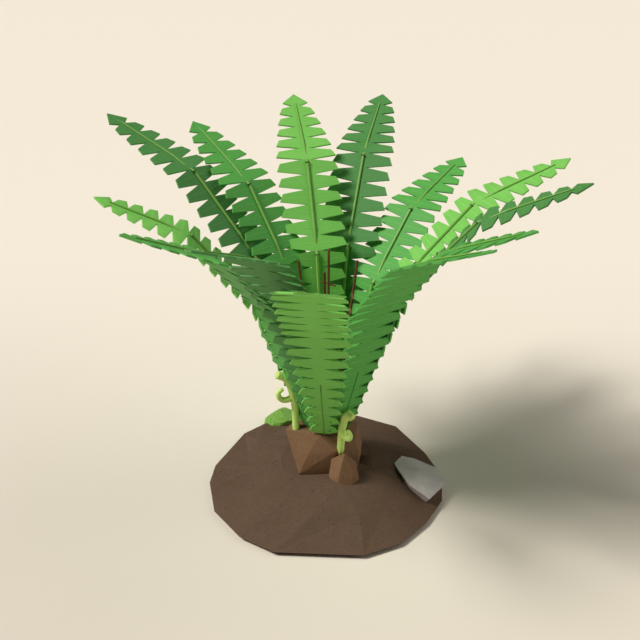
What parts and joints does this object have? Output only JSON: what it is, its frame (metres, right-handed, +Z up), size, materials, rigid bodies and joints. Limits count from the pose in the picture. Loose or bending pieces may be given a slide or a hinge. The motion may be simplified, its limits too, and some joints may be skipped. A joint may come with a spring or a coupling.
{
  "type": "ostrich fern plant",
  "caption": "Low-poly ostrich fern: a funnel of bent feather-shaped fronds around bare brown fertile stalks, with curled croziers, on a brown crown in a low soil mound.",
  "frame": {"origin": "on the floor, under the middle of the soil mound, in the mound's flat underside", "axes": "+Z up out of the crown; the front of the plant, as pictured, faces -Y, and +X is to the viewer's right"},
  "size_m": [1.4094, 1.4523, 1.116],
  "materials": {
    "leaf_light": "matte, fresh yellow-green leaf",
    "leaf_mid": "matte, middle green leaf",
    "leaf_dark": "matte, dark blue-green leaf",
    "rachis": "satin, olive yellow-green stalk",
    "crozier": "satin, pale spring green stalk",
    "fertile": "matte, dark red-brown dried stalk",
    "crown": "matte, brown stubs of old stalks",
    "soil": "matte, dark brown soil",
    "stone": "matte, grey stone",
    "moss": "matte, green moss"
  },
  "bodies": {
    "root": {"frond_01_blade": "leaf_light", "frond_01_rachis": "rachis", "frond_02_blade": "leaf_mid", "frond_02_rachis": "rachis", "frond_03_blade": "leaf_dark", "frond_03_rachis": "rachis", "frond_04_blade": "leaf_light", "frond_04_rachis": "rachis", "frond_05_blade": "leaf_mid", "frond_05_rachis": "rachis", "frond_06_blade": "leaf_dark", "frond_06_rachis": "rachis", "frond_07_blade": "leaf_light", "frond_07_rachis": "rachis", "frond_08_blade": "leaf_mid", "frond_08_rachis": "rachis", "frond_09_blade": "leaf_dark", "frond_09_rachis": "rachis", "frond_10_blade": "leaf_light", "frond_10_rachis": "rachis", "frond_11_blade": "leaf_mid", "frond_11_rachis": "rachis", "frond_12_blade": "leaf_mid", "frond_12_rachis": "rachis", "frond_13_blade": "leaf_dark", "frond_13_rachis": "rachis", "fertile_frond_1": "fertile", "fertile_frond_2": "fertile", "fertile_frond_3": "fertile", "fertile_frond_4": "fertile", "crozier_left": "crozier", "crozier_right": "crozier", "crown": "crown", "side_crown": "crown", "stone": "stone", "moss_cushion": "moss", "soil_mound": "soil"}
  },
  "joints": []
}
